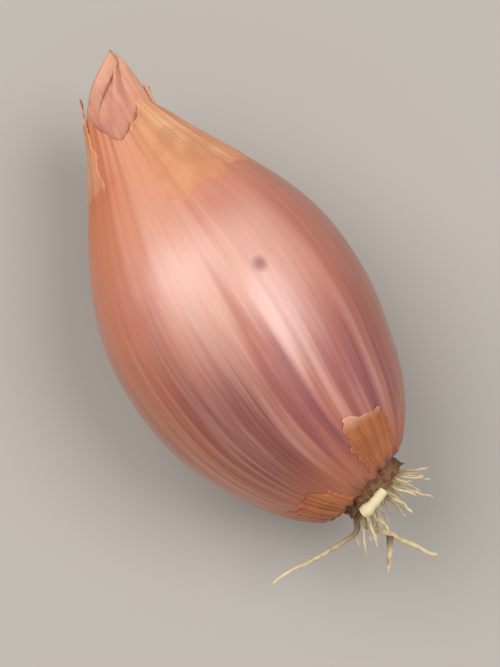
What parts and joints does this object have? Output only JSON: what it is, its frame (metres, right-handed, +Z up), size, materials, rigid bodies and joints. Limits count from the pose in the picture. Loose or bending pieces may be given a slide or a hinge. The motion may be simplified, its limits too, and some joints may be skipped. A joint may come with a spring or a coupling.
{
  "type": "pink shallot",
  "caption": "Pink shallot lying on its side: plump bulb in tight satin skin, torn papery neck, root plate and dry thread-like roots.",
  "frame": {"origin": "the point of the resting surface under the middle of the whole object's box, as it lies on its side", "axes": "+X from the root plate to the neck, +Z up, +Y across the bulb"},
  "size_m": [0.0774, 0.0346, 0.032],
  "materials": {
    "bulb_skin": "satin",
    "tan_skin": "matte",
    "dry_leaf": "matte",
    "orange_skin": "matte",
    "root_plate": "matte",
    "root_stub": "matte",
    "roots": "matte"
  },
  "bodies": {
    "root": {"bulb": "bulb_skin", "neck_skin": "tan_skin", "neck_leaf_pink": "dry_leaf", "neck_leaf_under": "tan_skin", "neck_leaf_inner": "dry_leaf", "neck_leaf_side": "orange_skin", "neck_shred": "dry_leaf", "base_skin_flake": "orange_skin", "base_skin_scrap_left": "orange_skin", "base_skin_scrap_under": "orange_skin", "root_plate": "root_plate", "root_stub": "root_stub", "root_trailing": "roots", "root_sideways": "roots", "root_01": "roots", "root_02": "roots", "root_03": "roots", "root_04": "roots", "root_05": "roots", "root_06": "roots", "root_07": "roots", "root_08": "roots", "root_09": "roots", "root_10": "roots", "root_11": "roots", "root_12": "roots"}
  },
  "joints": []
}
